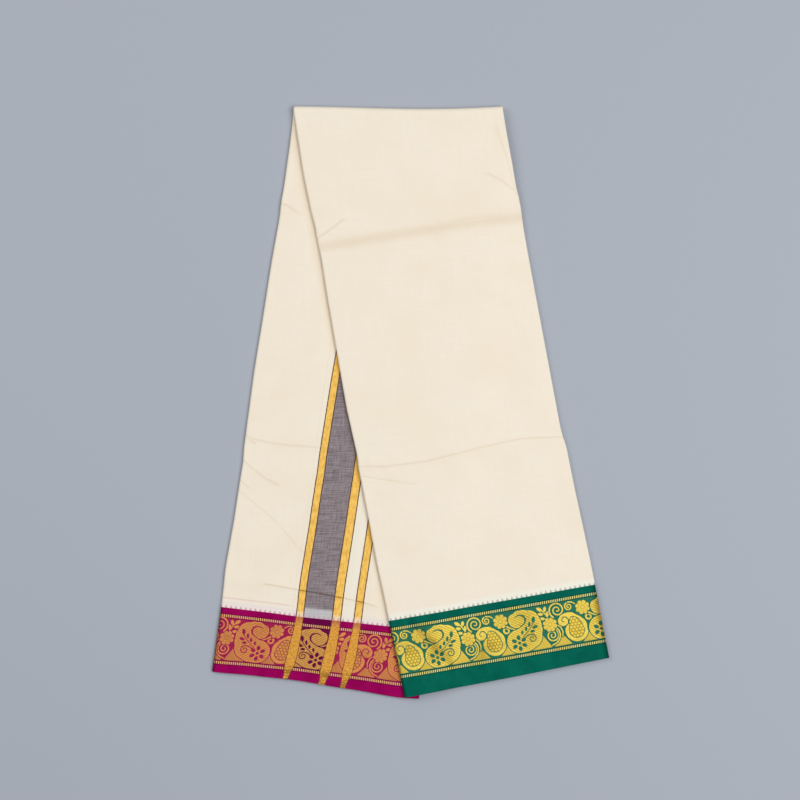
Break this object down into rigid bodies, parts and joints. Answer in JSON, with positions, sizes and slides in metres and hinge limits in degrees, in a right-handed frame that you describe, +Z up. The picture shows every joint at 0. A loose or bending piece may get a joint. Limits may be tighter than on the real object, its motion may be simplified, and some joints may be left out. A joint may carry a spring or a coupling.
{
  "type": "folded dhoti cloth",
  "caption": "Dhoti folded into a long strip and doubled over askew: cream cotton with green and magenta borders, gold paisley bands and gold and grey end stripes.",
  "frame": {"origin": "bottom centre of the bounding box, on the surface that the cloth lies on", "axes": "+Z up from the surface, +Y along the strip towards the fold where it is doubled over, +X towards the green half's free end"},
  "size_m": [0.4328, 0.6456, 0.0106],
  "materials": {
    "cream_cotton": "matte plain-weave cotton",
    "green_border": "woven border with gold thread",
    "magenta_border": "woven border with gold thread"
  },
  "bodies": {
    "root": {"front_cloth": "cream_cotton", "front_border": "green_border", "front_layers": "cream_cotton", "front_border_layers": "green_border", "fold_layers": "cream_cotton", "back_cloth": "cream_cotton", "back_border": "magenta_border", "back_layers": "cream_cotton", "back_border_layers": "magenta_border"}
  },
  "joints": []
}
